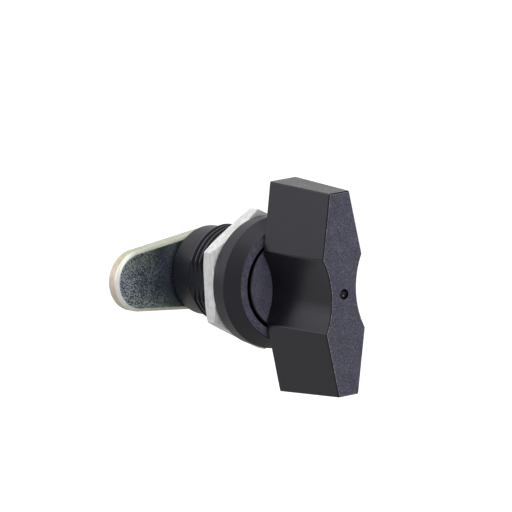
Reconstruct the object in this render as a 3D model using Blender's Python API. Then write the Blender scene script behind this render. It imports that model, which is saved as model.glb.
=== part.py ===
"""Quarter-turn cam lock with a wing knob, modelled in metres with +Z up.

The lock's axis lies along Y. The knob faces -Y and the barrel runs to +Y. Y = 0 is the back plane
of the flange, where the door panel lies. The wings stand along Z and the cam points to -X.
"""
import math

import bmesh
import bpy
from mathutils import Vector

MM = 0.001

# General fits and finish
FIT = 0.3 * MM
OVERLAP = 1.0 * MM
WELD_DISTANCE = 0.001 * MM
SEGMENTS = 64
SMALL_SEGMENTS = 32
CORNER_STEPS = 4
SHARP_ANGLE = math.radians(35)
BEVEL_ANGLE = math.radians(25)

# Flange of the housing
FLANGE_REAR_DIAMETER = 28.6 * MM
FLANGE_DIAMETER = 29.2 * MM
BAND_HEIGHT = 4.1 * MM
FLANGE_HEIGHT = 7.4 * MM
FACE_RING_DIAMETER = 24.8 * MM
FLANGE_EDGE_RADIUS = 0.35 * MM

# Threaded barrel with its two flats
THREAD_DIAMETER = 22.0 * MM
THREAD_PITCH = 1.5 * MM
THREAD_DEPTH = 0.85 * MM
THREAD_FOOT = 1.2 * MM
THREAD_CREST = 0.2 * MM
THREAD_START = 0.9 * MM
THREAD_END = 14.0 * MM
THREAD_END_ANGLE = math.radians(60)
THREAD_RUN_OUT = math.radians(60)
THREAD_STEPS = 36
ACROSS_FLATS = 20.1 * MM
BARREL_END_DIAMETER = 19.8 * MM
BARREL_LENGTH = 20.4 * MM
BARREL_CHAMFER = 0.5 * MM

# Spindle, its seal and its stop
JOURNAL_DIAMETER = 11.8 * MM
TANG_THICKNESS = 3.4 * MM
TANG_WIDTH = 9.6 * MM
TANG_LENGTH = 13.0 * MM
SQUARE_WIDTH = 8.0 * MM
SEAL_SECTION = 1.8 * MM
SEAL_STEPS = 12
SEAL_POSITION = 3.0 * MM
STOP_RADIUS = 8.1 * MM
STOP_DEPTH = 4.0 * MM
STOP_STEPS = 6
STOP_LUG_ANGLE = math.radians(40)
STOP_MIDDLE = math.radians(-45)
TURN_ANGLE = math.radians(90)
TAPPED_DEPTH = 14.0 * MM

# Wing knob
DISC_DIAMETER = 19.6 * MM
DISC_THICKNESS = 2.4 * MM
DISC_PROUD = 0.3 * MM
DISC_EDGE_RADIUS = 0.15 * MM
DISC_GAP = 0.8 * MM
HUB_STEP = 0.5 * MM
WING_CLEARANCE = 1.1 * MM
KNOB_DEPTH = 19.3 * MM
KNOB_HEIGHT = 44.6 * MM
WING_END_WIDTH = 5.5 * MM
RIDGE_WIDTH = 10.9 * MM
RIDGE_SPACING = 16.1 * MM
WAIST_WIDTH = 7.0 * MM
WING_DRAFT = 1.0 * MM
SCOOP_DRAFT = 0.35 * MM
SCOOP_STEPS = 12
KNOB_EDGE_RADIUS = 0.45 * MM
KNOB_EDGE_STEPS = 3
DIMPLE_DIAMETER = 2.3 * MM
DIMPLE_SEGMENTS = 16
DIMPLE_RINGS = 12
WALL = 1.7 * MM
FRONT_WALL = 2.6 * MM
RIB = 1.4 * MM

# Hexagon nut
NUT_ACROSS_FLATS = 27.0 * MM
NUT_THICKNESS = 3.8 * MM
NUT_FACE_DIAMETER = 27.6 * MM
NUT_COUNTERSINK = 0.5 * MM
HEX_CHAMFER_ANGLE = math.radians(22)

# Cam
CAM_THICKNESS = 3.0 * MM
CAM_REACH = 24.7 * MM
CAM_TIP_RADIUS = 6.8 * MM
CAM_HUB_RADIUS = 8.8 * MM
CAM_EDGE_ROLL = 0.7 * MM
CAM_EDGE_STEPS = 4
CAM_ARC_STEPS = 20

# Cam screw and its washers
SCREW_DIAMETER = 6.0 * MM
SCREW_LENGTH = 14.0 * MM
SCREW_HEAD_ACROSS_FLATS = 10.0 * MM
SCREW_HEAD_HEIGHT = 4.0 * MM
SCREW_HEAD_FACE_DIAMETER = 9.6 * MM
SCREW_POINT = 0.6 * MM
WASHER_DIAMETER = 12.0 * MM
WASHER_THICKNESS = 1.6 * MM
SPRING_WASHER_DIAMETER = 11.0 * MM
SPRING_WASHER_THICKNESS = 1.5 * MM
SPRING_WASHER_SLIT = math.radians(12)

# Places along the axis that follow from the sizes above
DISC_FRONT = FLANGE_HEIGHT + DISC_PROUD
DISC_BACK = DISC_FRONT - DISC_THICKNESS
RECESS_FLOOR = DISC_BACK - FIT
WING_UNDERSIDE = FLANGE_HEIGHT + WING_CLEARANCE
KNOB_FRONT = WING_UNDERSIDE + KNOB_DEPTH
CAM_FRONT = BARREL_LENGTH + FIT
CAM_BACK = CAM_FRONT + CAM_THICKNESS
WASHER_FRONT = CAM_BACK + FIT
SPRING_WASHER_FRONT = WASHER_FRONT + WASHER_THICKNESS + FIT
SCREW_HEAD_FRONT = SPRING_WASHER_FRONT + SPRING_WASHER_THICKNESS + FIT

# Radii that follow from the fits
THREAD_RADIUS = THREAD_DIAMETER / 2
ROOT_RADIUS = THREAD_RADIUS - THREAD_DEPTH
JOURNAL_RADIUS = JOURNAL_DIAMETER / 2
BORE_RADIUS = JOURNAL_RADIUS + FIT
GROOVE_RADIUS = BORE_RADIUS - SEAL_SECTION - 2 * FIT
DISC_RADIUS = DISC_DIAMETER / 2
RECESS_RADIUS = DISC_RADIUS + DISC_GAP
SCREW_RADIUS = SCREW_DIAMETER / 2


def clear_scene():
    """Remove every object of the open scene."""
    for item in list(bpy.data.objects):
        bpy.data.objects.remove(item, do_unlink=True)


def linear(channel):
    """Turn one sRGB channel into its linear value."""
    if channel <= 0.04045:
        return channel / 12.92
    return ((channel + 0.055) / 1.055) ** 2.4


def make_material(name, hex_colour, roughness, metallic):
    """Make a Principled material from an sRGB hex colour."""
    channels = [int(hex_colour[i:i + 2], 16) / 255 for i in (0, 2, 4)]
    material = bpy.data.materials.new(name)
    material.use_nodes = True
    shader = material.node_tree.nodes["Principled BSDF"]
    shader.inputs["Base Color"].default_value = [linear(value) for value in channels] + [1.0]
    shader.inputs["Roughness"].default_value = roughness
    shader.inputs["Metallic"].default_value = metallic
    return material


def finish_object(name, bm, material=None):
    """Turn a bmesh into an object whose faces point outwards and whose round faces are smooth."""
    bmesh.ops.recalc_face_normals(bm, faces=bm.faces[:])
    mesh = bpy.data.meshes.new(name)
    bm.to_mesh(mesh)
    bm.free()
    mesh.shade_smooth()
    mesh.set_sharp_from_angle(angle=SHARP_ANGLE)
    if material:
        mesh.materials.append(material)
    item = bpy.data.objects.new(name, mesh)
    bpy.context.scene.collection.objects.link(item)
    return item


def add_boolean(target, other, operation):
    """Add a Boolean modifier to the target and keep its second shape hidden beside it."""
    modifier = target.modifiers.new(other.name, "BOOLEAN")
    modifier.operation = operation
    modifier.object = other
    modifier.solver = "EXACT"
    other.hide_render = True
    other.display_type = "WIRE"
    other.parent = target


def cut(target, *cutters):
    """Take each cutter away from the target."""
    for cutter in cutters:
        add_boolean(target, cutter, "DIFFERENCE")


def join(target, *additions):
    """Add each shape to the target."""
    for addition in additions:
        add_boolean(target, addition, "UNION")


def place(item, y, parent=None):
    """Put a piece's own zero plane at y on the lock's axis."""
    item.location = (0, y, 0)
    item.parent = parent


def round_profile(corners, steps=CORNER_STEPS):
    """Return a profile whose corners (radius, y, rounding) are replaced by arcs."""
    points = []
    for index, (radius, y, rounding) in enumerate(corners):
        here = Vector((radius, y))
        if rounding == 0:
            points.append(here)
            continue
        before = (Vector(corners[index - 1][:2]) - here).normalized()
        after = (Vector(corners[(index + 1) % len(corners)][:2]) - here).normalized()
        half_angle = before.angle(after) / 2
        centre = here + (before + after).normalized() * (rounding / math.sin(half_angle))
        start = (here + before * (rounding / math.tan(half_angle)) - centre).normalized()
        end = (here + after * (rounding / math.tan(half_angle)) - centre).normalized()
        for step in range(steps + 1):
            points.append(centre + start.slerp(end, step / steps) * rounding)
    return points


def revolve(profile, segments=SEGMENTS):
    """Turn a closed profile of (radius, y) points round the lock's axis."""
    bm = bmesh.new()
    rings = []
    for index in range(segments):
        angle = 2 * math.pi * index / segments
        ring = [bm.verts.new((r * math.sin(angle), y, r * math.cos(angle))) for r, y in profile]
        rings.append(ring)
    for index, ring in enumerate(rings):
        following = rings[(index + 1) % segments]
        for k in range(len(ring)):
            m = (k + 1) % len(ring)
            if profile[k][0] > 0 or profile[m][0] > 0:
                bm.faces.new((ring[k], ring[m], following[m], following[k]))
    bmesh.ops.remove_doubles(bm, verts=bm.verts[:], dist=WELD_DISTANCE)
    return bm


def loft(first, first_y, second, second_y):
    """Make the solid between two outlines of (x, z) points with the same number of points."""
    bm = bmesh.new()
    lower = [bm.verts.new((x, first_y, z)) for x, z in first]
    upper = [bm.verts.new((x, second_y, z)) for x, z in second]
    bm.faces.new(lower)
    bm.faces.new(upper)
    for k in range(len(lower)):
        m = (k + 1) % len(lower)
        bm.faces.new((lower[k], lower[m], upper[m], upper[k]))
    return bm


def prism(outline, start_y, end_y):
    """Make the straight solid of one outline between two planes."""
    return loft(outline, start_y, outline, end_y)


def rectangle(half_x, half_z, centre_x=0.0):
    """Return the four corners of a rectangle on the axis or beside it."""
    low = centre_x - half_x
    high = centre_x + half_x
    return [(low, -half_z), (high, -half_z), (high, half_z), (low, half_z)]


def arc(radius, start, end, steps, centre_x=0.0):
    """Return points of an arc whose angles count from +Z towards +X."""
    points = []
    for step in range(steps + 1):
        angle = start + (end - start) * step / steps
        points.append((centre_x + radius * math.sin(angle), radius * math.cos(angle)))
    return points


def sector(inner, outer, start, end, steps):
    """Return the outline of a piece of a ring."""
    return arc(outer, start, end, steps) + arc(inner, end, start, steps)


def make_hexagon(name, across_flats, thickness, chamfer_diameter, first_chamfer, material):
    """Make a hexagon with a corner up, its corners turned down by a chamfered blank."""
    corner = across_flats / 2 / math.cos(math.pi / 6)
    outline = arc(corner, 0, 2 * math.pi, 6)[:-1]
    hexagon = finish_object(name, prism(outline, 0, thickness), material)
    face_radius = chamfer_diameter / 2
    drop = (corner + FIT - face_radius) * math.tan(HEX_CHAMFER_ANGLE)
    blank = [(0, thickness), (face_radius, thickness), (corner + FIT, thickness - drop)]
    if first_chamfer:
        blank += [(corner + FIT, drop), (face_radius, 0), (0, 0)]
    else:
        blank += [(corner + FIT, -FIT), (0, -FIT)]
    add_boolean(hexagon, finish_object(name + "_blank", revolve(blank)), "INTERSECT")
    return hexagon


def thread_ridge():
    """Make the screw thread as one ridge that climbs the barrel and runs out at both ends."""
    base = ROOT_RADIUS - FIT
    lowest_crest = ROOT_RADIUS - FIT / 2
    half_foot = THREAD_FOOT / 2
    half_crest = THREAD_CREST / 2
    turns = (THREAD_END - THREAD_START - THREAD_FOOT) / THREAD_PITCH
    count = round(turns * THREAD_STEPS)
    fade = THREAD_STEPS * THREAD_RUN_OUT / (2 * math.pi)
    bm = bmesh.new()
    rings = []
    for index in range(count + 1):
        left = count - index
        angle = THREAD_END_ANGLE - 2 * math.pi * left / THREAD_STEPS
        y = THREAD_END - half_foot - THREAD_PITCH * left / THREAD_STEPS
        rise = min(1.0, index / fade, left / fade)
        crest = lowest_crest + (THREAD_RADIUS - lowest_crest) * rise
        corners = [(base, -half_foot), (crest, -half_crest), (crest, half_crest), (base, half_foot)]
        ring = [bm.verts.new((r * math.sin(angle), y + dy, r * math.cos(angle))) for r, dy in corners]
        rings.append(ring)
    bm.faces.new(rings[0])
    bm.faces.new(rings[-1])
    for ring, following in zip(rings, rings[1:]):
        for k in range(len(ring)):
            m = (k + 1) % len(ring)
            bm.faces.new((ring[k], ring[m], following[m], following[k]))
    return bm


def stop_pocket():
    """The hollow in the barrel's end in which the spindle's lug turns between its two stops."""
    play = FIT / STOP_RADIUS
    start = STOP_MIDDLE - STOP_LUG_ANGLE / 2 - play
    end = STOP_MIDDLE + TURN_ANGLE + STOP_LUG_ANGLE / 2 + play
    outline = sector(BORE_RADIUS - FIT, STOP_RADIUS + FIT, start, end, SMALL_SEGMENTS // 2)
    bm = prism(outline, BARREL_LENGTH - STOP_DEPTH, BARREL_LENGTH + FIT)
    return finish_object("housing_stop_pocket", bm)


def make_housing(material):
    """The housing: flange, recess for the knob's disc, bore, threaded barrel and stop pocket."""
    edge = FLANGE_EDGE_RADIUS
    end_radius = BARREL_END_DIAMETER / 2
    end_step = ROOT_RADIUS - end_radius
    corners = [
        (BORE_RADIUS, -RECESS_FLOOR, 0),
        (RECESS_RADIUS, -RECESS_FLOOR, 0),
        (RECESS_RADIUS, -FLANGE_HEIGHT, 0),
        (FACE_RING_DIAMETER / 2, -FLANGE_HEIGHT, edge),
        (FLANGE_DIAMETER / 2, -BAND_HEIGHT, edge),
        (FLANGE_REAR_DIAMETER / 2, 0, edge),
        (ROOT_RADIUS, 0, 0),
        (ROOT_RADIUS, THREAD_END, 0),
        (end_radius, THREAD_END + end_step, 0),
        (end_radius, BARREL_LENGTH - BARREL_CHAMFER, 0),
        (end_radius - BARREL_CHAMFER, BARREL_LENGTH, 0),
        (BORE_RADIUS, BARREL_LENGTH, 0),
    ]
    housing = finish_object("housing", revolve(round_profile(corners)), material)
    ridge = finish_object("housing_thread", thread_ridge(), material)
    join(housing, ridge)
    half_flat = ACROSS_FLATS / 2
    side = THREAD_RADIUS
    for sign in (-1, 1):
        outline = rectangle(side / 2, side, sign * (half_flat + side / 2))
        flat = finish_object("housing_flat", prism(outline, FIT, BARREL_LENGTH + FIT))
        cut(housing, flat)
    cut(housing, stop_pocket())
    return housing


def make_nut(material):
    """The hexagon nut that draws the flange against the panel."""
    nut = make_hexagon("hex_nut", NUT_ACROSS_FLATS, NUT_THICKNESS, NUT_FACE_DIAMETER, True, material)
    radius = THREAD_RADIUS + FIT
    sink = NUT_COUNTERSINK
    profile = [
        (0, -FIT),
        (radius + sink + FIT, -FIT),
        (radius, sink),
        (radius, NUT_THICKNESS - sink),
        (radius + sink + FIT, NUT_THICKNESS + FIT),
        (0, NUT_THICKNESS + FIT),
    ]
    cut(nut, finish_object("hex_nut_bore", revolve(profile)))
    return nut


def wing_half_width(z, draft):
    """Half the wing's width at a height z above its ridge, with the draft added on each side."""
    ridge = RIDGE_SPACING / 2
    share = (z - ridge) / (KNOB_HEIGHT / 2 - ridge)
    return RIDGE_WIDTH / 2 + (WING_END_WIDTH - RIDGE_WIDTH) / 2 * share + draft


def wing_outline(draft, scoop_draft):
    """The knob's outline: two tapering wings with a hollow waist, an arc on each side."""
    top = KNOB_HEIGHT / 2 + draft
    end = WING_END_WIDTH / 2 + draft
    ridge = RIDGE_SPACING / 2
    ridge_half = RIDGE_WIDTH / 2 + draft
    waist_half = WAIST_WIDTH / 2 + scoop_draft
    sag = ridge_half - waist_half
    radius = (ridge ** 2 + sag ** 2) / (2 * sag)
    half_angle = math.asin(ridge / radius)
    right = [(end, top)]
    for step in range(SCOOP_STEPS + 1):
        angle = half_angle - 2 * half_angle * step / SCOOP_STEPS
        right.append((waist_half + radius - radius * math.cos(angle), radius * math.sin(angle)))
    right.append((end, -top))
    return right + [(-x, -z) for x, z in right]


def wing_pockets():
    """The hollows that core the wings from below, two in each wing with a rib between them."""
    depth = KNOB_DEPTH - FRONT_WALL
    deep_draft = WING_DRAFT * FRONT_WALL / KNOB_DEPTH
    low = DISC_RADIUS + FIT
    high = KNOB_HEIGHT / 2 - WALL
    middle = (low + high) / 2
    shapes = []
    for start, end in ((low, middle - RIB / 2), (middle + RIB / 2, high)):
        for sign in (-1, 1):
            outlines = []
            for draft in (WING_DRAFT, deep_draft):
                wide = wing_half_width(start, draft) - WALL
                narrow = wing_half_width(end, draft) - WALL
                corners = [(-wide, start), (wide, start), (narrow, end), (-narrow, end)]
                outlines.append([(x, sign * z) for x, z in corners])
            bm = loft(outlines[0], -WING_UNDERSIDE + FIT, outlines[1], -WING_UNDERSIDE - depth)
            shapes.append(finish_object("wing_knob_pocket", bm))
    return shapes


def gate_dimple():
    """The ball that leaves the small round dimple in the middle of the knob's front face."""
    bm = bmesh.new()
    radius = DIMPLE_DIAMETER / 2
    bmesh.ops.create_uvsphere(bm, u_segments=DIMPLE_SEGMENTS, v_segments=DIMPLE_RINGS, radius=radius)
    bmesh.ops.translate(bm, verts=bm.verts[:], vec=(0, -KNOB_FRONT, 0))
    return finish_object("wing_knob_dimple", bm)


def make_knob(material):
    """The wing knob: drafted wings on a disc, cored from below, with a slot for the spindle."""
    front = wing_outline(0.0, 0.0)
    base = wing_outline(WING_DRAFT, SCOOP_DRAFT)
    foot = -(DISC_FRONT + DISC_BACK) / 2
    knob = finish_object("wing_knob", loft(base, foot, front, -KNOB_FRONT), material)
    bevel = knob.modifiers.new("edges", "BEVEL")
    bevel.width = KNOB_EDGE_RADIUS
    bevel.segments = KNOB_EDGE_STEPS
    bevel.limit_method = "ANGLE"
    bevel.angle_limit = BEVEL_ANGLE
    hub_radius = DISC_RADIUS - HUB_STEP
    reach = KNOB_HEIGHT
    below = [(hub_radius, -WING_UNDERSIDE), (reach, -WING_UNDERSIDE), (reach, 0), (hub_radius, 0)]
    cut(knob, finish_object("wing_knob_underside", revolve(below)))
    disc_corners = [
        (0, -DISC_FRONT, 0),
        (DISC_RADIUS, -DISC_FRONT, DISC_EDGE_RADIUS),
        (DISC_RADIUS, -DISC_BACK, 0),
        (0, -DISC_BACK, 0),
    ]
    join(knob, finish_object("wing_knob_disc", revolve(round_profile(disc_corners)), material))
    cut(knob, *wing_pockets())
    slot_outline = rectangle(TANG_THICKNESS / 2 + FIT, TANG_WIDTH / 2 + FIT)
    slot_end = -DISC_BACK - TANG_LENGTH - 2 * FIT
    cut(knob, finish_object("wing_knob_slot", prism(slot_outline, -DISC_BACK + FIT, slot_end)))
    cut(knob, gate_dimple())
    return knob


def make_spindle(material):
    """The spindle: blade for the knob, grooved journal, stop lug and square end for the cam."""
    start = -DISC_BACK + FIT
    end = BARREL_LENGTH - FIT
    groove_half = SEAL_SECTION / 2 + FIT
    profile = [
        (0, start),
        (JOURNAL_RADIUS, start),
        (JOURNAL_RADIUS, SEAL_POSITION - groove_half),
        (GROOVE_RADIUS, SEAL_POSITION - groove_half),
        (GROOVE_RADIUS, SEAL_POSITION + groove_half),
        (JOURNAL_RADIUS, SEAL_POSITION + groove_half),
        (JOURNAL_RADIUS, end),
        (0, end),
    ]
    spindle = finish_object("spindle", revolve(profile, SMALL_SEGMENTS), material)
    tang = rectangle(TANG_THICKNESS / 2, TANG_WIDTH / 2)
    square = rectangle(SQUARE_WIDTH / 2, SQUARE_WIDTH / 2)
    lug_start = STOP_MIDDLE - STOP_LUG_ANGLE / 2
    lug_end = lug_start + STOP_LUG_ANGLE
    lug = sector(JOURNAL_RADIUS - OVERLAP, STOP_RADIUS, lug_start, lug_end, STOP_STEPS)
    join(
        spindle,
        finish_object("spindle_tang", prism(tang, -DISC_BACK - TANG_LENGTH, start + OVERLAP)),
        finish_object("spindle_square", prism(square, end - OVERLAP, CAM_BACK - FIT)),
        finish_object("spindle_lug", prism(lug, BARREL_LENGTH - STOP_DEPTH + FIT, end)),
    )
    radius = SCREW_RADIUS + FIT
    hole_end = CAM_BACK - TAPPED_DEPTH
    hole = [(0, hole_end), (radius, hole_end), (radius, CAM_BACK), (0, CAM_BACK)]
    cut(spindle, finish_object("spindle_hole", revolve(hole, SMALL_SEGMENTS)))
    return spindle


def make_seal(material):
    """The O-ring in the journal's groove."""
    radius = SEAL_SECTION / 2
    centre = GROOVE_RADIUS + FIT + radius
    angles = [2 * math.pi * step / SEAL_STEPS for step in range(SEAL_STEPS)]
    profile = [(centre + radius * math.cos(a), radius * math.sin(a)) for a in angles]
    return finish_object("o_ring", revolve(profile, SMALL_SEGMENTS), material)


def make_cam(material):
    """The flat cam: a tapering strip with round ends, its front edge rolled by the punch."""
    tip_x = CAM_REACH - CAM_TIP_RADIUS
    lean = math.asin((CAM_HUB_RADIUS - CAM_TIP_RADIUS) / tip_x)
    tip = arc(CAM_TIP_RADIUS, -math.pi + lean, -lean, CAM_ARC_STEPS, -tip_x)
    hub = arc(CAM_HUB_RADIUS, -lean, math.pi + lean, CAM_ARC_STEPS)
    bm = prism(tip + hub, 0, CAM_THICKNESS)
    front_edges = [edge for edge in bm.edges if all(vert.co.y == 0 for vert in edge.verts)]
    rounding = {"offset": CAM_EDGE_ROLL, "segments": CAM_EDGE_STEPS, "profile": 0.5}
    bmesh.ops.bevel(bm, geom=front_edges, affect="EDGES", **rounding)
    cam = finish_object("cam", bm, material)
    half = SQUARE_WIDTH / 2 + FIT
    cut(cam, finish_object("cam_square", prism(rectangle(half, half), -FIT, CAM_THICKNESS + FIT)))
    return cam


def make_washer(material):
    """The flat washer behind the cam."""
    inner = SCREW_RADIUS + FIT
    outer = WASHER_DIAMETER / 2
    profile = [(inner, 0), (outer, 0), (outer, WASHER_THICKNESS), (inner, WASHER_THICKNESS)]
    return finish_object("flat_washer", revolve(profile, SMALL_SEGMENTS), material)


def make_spring_washer(material):
    """The spring washer, drawn flat as it lies when tightened, with its slit."""
    inner = SCREW_RADIUS + FIT
    outer = SPRING_WASHER_DIAMETER / 2
    half_slit = SPRING_WASHER_SLIT / 2
    outline = sector(inner, outer, half_slit, 2 * math.pi - half_slit, SMALL_SEGMENTS)
    return finish_object("spring_washer", prism(outline, 0, SPRING_WASHER_THICKNESS), material)


def make_screw(material):
    """The hexagon screw that holds the cam on the spindle's square end."""
    sizes = (SCREW_HEAD_ACROSS_FLATS, SCREW_HEAD_HEIGHT, SCREW_HEAD_FACE_DIAMETER)
    screw = make_hexagon("cam_screw", *sizes, False, material)
    middle = SCREW_HEAD_HEIGHT / 2
    shank = [
        (0, -SCREW_LENGTH),
        (SCREW_RADIUS - SCREW_POINT, -SCREW_LENGTH),
        (SCREW_RADIUS, -SCREW_LENGTH + SCREW_POINT),
        (SCREW_RADIUS, middle),
        (0, middle),
    ]
    join(screw, finish_object("cam_screw_shank", revolve(shank, SMALL_SEGMENTS)))
    return screw


def build():
    """Make every piece and put it in its place."""
    clear_scene()
    moulded_black = make_material("black_moulding", "38373D", 0.45, 0.0)
    rubber = make_material("seal_rubber", "1C1C1C", 0.7, 0.0)
    nut_zinc = make_material("matt_zinc", "C8C8C6", 0.5, 0.6)
    cam_zinc = make_material("zinc_plated_steel", "8E9496", 0.35, 1.0)
    spindle_zinc = make_material("cast_zinc", "9A9A98", 0.4, 0.9)
    screw_zinc = make_material("plated_screw_steel", "B9BBBC", 0.3, 1.0)

    turning = bpy.data.objects.new("turning_parts", None)
    bpy.context.scene.collection.objects.link(turning)

    place(make_housing(moulded_black), 0)
    place(make_nut(nut_zinc), FIT)
    place(make_knob(moulded_black), 0, turning)
    place(make_spindle(spindle_zinc), 0, turning)
    place(make_seal(rubber), SEAL_POSITION, turning)
    place(make_cam(cam_zinc), CAM_FRONT, turning)
    place(make_washer(screw_zinc), WASHER_FRONT, turning)
    place(make_spring_washer(screw_zinc), SPRING_WASHER_FRONT, turning)
    place(make_screw(screw_zinc), SCREW_HEAD_FRONT, turning)


build()
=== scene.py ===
# %% [markdown]
# A quarter-turn cam lock: a black wing knob turns a flat steel cam behind a cabinet door.
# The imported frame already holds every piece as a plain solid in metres. The lock's axis lies
# along Y, the knob faces -Y, and Y = 0 is the back plane of the flange.
# Each cell below makes one piece or one finish, at the place that the frame gives.

# %% Load the frame
import math

import bmesh
import bpy
from mathutils import Matrix, Vector


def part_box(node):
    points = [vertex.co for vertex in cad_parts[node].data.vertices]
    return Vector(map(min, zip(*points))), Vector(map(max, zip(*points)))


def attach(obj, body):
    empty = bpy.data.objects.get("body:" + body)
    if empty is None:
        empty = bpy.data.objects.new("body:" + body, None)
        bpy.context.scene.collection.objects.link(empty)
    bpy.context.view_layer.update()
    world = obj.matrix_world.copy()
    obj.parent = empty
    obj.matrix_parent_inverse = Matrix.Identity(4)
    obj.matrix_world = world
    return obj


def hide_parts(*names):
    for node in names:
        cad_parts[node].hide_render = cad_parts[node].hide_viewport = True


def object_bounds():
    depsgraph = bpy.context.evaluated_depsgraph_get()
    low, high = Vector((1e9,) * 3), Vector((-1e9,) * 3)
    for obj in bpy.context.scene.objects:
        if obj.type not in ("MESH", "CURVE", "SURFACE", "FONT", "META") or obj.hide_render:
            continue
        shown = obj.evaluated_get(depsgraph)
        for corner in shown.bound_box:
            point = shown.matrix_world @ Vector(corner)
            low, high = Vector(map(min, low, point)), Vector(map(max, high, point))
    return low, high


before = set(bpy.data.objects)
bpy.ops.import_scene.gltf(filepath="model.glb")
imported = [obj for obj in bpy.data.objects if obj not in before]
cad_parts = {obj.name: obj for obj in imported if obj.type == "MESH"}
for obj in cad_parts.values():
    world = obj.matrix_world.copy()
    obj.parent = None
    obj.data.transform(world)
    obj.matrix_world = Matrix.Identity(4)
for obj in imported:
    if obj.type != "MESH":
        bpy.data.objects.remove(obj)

MM = 0.001
CAD_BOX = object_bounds()
print("frame pieces:", sorted(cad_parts))

# %% [markdown]
# The frame's boxes give each piece's place along the axis and its outer size. Sizes that a box
# can't tell, such as a groove or a rounding, are real sizes in millimetres, named in the cell
# that needs them first. Pieces that touch stay a small fit apart, as they do in the frame.

# %% Places that the frame gives
KNOB_LOW, KNOB_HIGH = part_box("wing_knob")
HOUSING_LOW, HOUSING_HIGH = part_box("housing")
NUT_LOW, NUT_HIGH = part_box("hex_nut")
CAM_LOW, CAM_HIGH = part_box("cam")
WASHER_LOW, WASHER_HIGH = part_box("flat_washer")
SPRING_LOW, SPRING_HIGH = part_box("spring_washer")
SCREW_LOW, SCREW_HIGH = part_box("cam_screw")
SPINDLE_LOW, SPINDLE_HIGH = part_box("spindle")
FIT = 0.3 * MM
KNOB_FRONT = -KNOB_LOW.y
DISC_BACK = -KNOB_HIGH.y
FLANGE_RADIUS = HOUSING_HIGH.x
FLANGE_HEIGHT = -HOUSING_LOW.y
BARREL_LENGTH = HOUSING_HIGH.y
print("flange", round(FLANGE_RADIUS / MM, 2), "mm, knob front at", round(-KNOB_FRONT / MM, 2), "mm")

# %% [markdown]
# A few helpers carry the lesson. Colours are written as sRGB hex values, as a picture editor
# shows them, and Blender needs them linear. One function adds any node with its settings and
# links, one starts a material, and one gives a colour ramp its stops.

# %% Colour and node helpers
def linear_colour(hex_colour):
    """An sRGB hex value as a linear colour with full alpha."""
    channels = [int(hex_colour[i:i + 2], 16) / 255 for i in (0, 2, 4)]
    bent = [c / 12.92 if c <= 0.04045 else ((c + 0.055) / 1.055) ** 2.4 for c in channels]
    return bent + [1.0]


def add_node(tree, kind, inputs=None, **settings):
    """Add a node: settings are its own properties, inputs are constants, nodes or sockets."""
    node = tree.nodes.new(kind)
    for name, value in settings.items():
        setattr(node, name, value)
    for key, value in (inputs or {}).items():
        if isinstance(value, bpy.types.Node):
            value = value.outputs[0]
        if isinstance(value, bpy.types.NodeSocket):
            tree.links.new(value, node.inputs[key])
        else:
            node.inputs[key].default_value = value
    return node


def start_material(name, look):
    """A new material, its node tree and its shader, whose inputs take the given look."""
    material = bpy.data.materials.new(name)
    material.use_nodes = True
    shader = material.node_tree.nodes["Principled BSDF"]
    for key, value in look.items():
        shader.inputs[key].default_value = value
    return material, material.node_tree, shader


def fill_ramp(ramp, stops):
    """Give a colour ramp its stops, each a position and an sRGB hex colour."""
    elements = ramp.color_ramp.elements
    elements.remove(elements[1])
    for position, colour in stops[1:]:
        elements.new(position).color = linear_colour(colour)
    elements[0].position = stops[0][0]
    elements[0].color = linear_colour(stops[0][1])


print("half grey in sRGB is", round(linear_colour("808080")[0], 3), "in linear light")

# %% [markdown]
# All finishes get their grain and their clouds from noise. A noise texture's scale says how
# many blots fit in a metre, so the helper takes the size of a blot instead. A bump tilts the
# shading where the noise rises and falls, and leaves the shape alone, which suits a fine grain.

# %% Noise and bump helpers
def add_noise(tree, place, size, detail=2.0, **inputs):
    """Add a noise texture whose blots are about as large as the given size."""
    inputs = {"Vector": place, "Scale": 1 / size, "Detail": detail, **inputs}
    return add_node(tree, "ShaderNodeTexNoise", inputs)


def add_bump(tree, shader, height, strength, distance):
    """Let a height texture tilt the shading, as if it rose and fell by the distance."""
    bump = {"Height": height, "Strength": strength, "Distance": distance}
    bump = add_node(tree, "ShaderNodeBump", bump)
    tree.links.new(bump.outputs["Normal"], shader.inputs["Normal"])


print("a grain of 0.2 mm is a noise of scale", round(1 / (0.2 * MM)))

# %% [markdown]
# A bmesh becomes an object here, with its faces turned outwards, and modifiers become a plain
# mesh. Round faces shade smooth and real edges stay crisp, because the mesh is split where two
# faces meet at a steep angle.

# %% Object helpers
SHARP_DEGREES = 35


def add_object(name, bm, *materials):
    """Make an object at the origin from a bmesh."""
    bmesh.ops.recalc_face_normals(bm, faces=bm.faces[:])
    mesh = bpy.data.meshes.new(name)
    bm.to_mesh(mesh)
    bm.free()
    mesh.shade_smooth()
    mesh.set_sharp_from_angle(angle=math.radians(SHARP_DEGREES))
    for material in materials:
        mesh.materials.append(material)
    item = bpy.data.objects.new(name, mesh)
    bpy.context.scene.collection.objects.link(item)
    return item


def bake_modifiers(item):
    """Replace the object's mesh by what its modifiers make, and drop the modifiers."""
    graph = bpy.context.evaluated_depsgraph_get()
    mesh = bpy.data.meshes.new_from_object(item.evaluated_get(graph), depsgraph=graph)
    item.modifiers.clear()
    item.data = mesh
    return item


def add_bevel(item, width, segments, degrees):
    """Round the edges that are steeper than the given angle."""
    bevel = item.modifiers.new("rounding", "BEVEL")
    bevel.width = width
    bevel.segments = segments
    bevel.limit_method = "ANGLE"
    bevel.angle_limit = math.radians(degrees)


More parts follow.
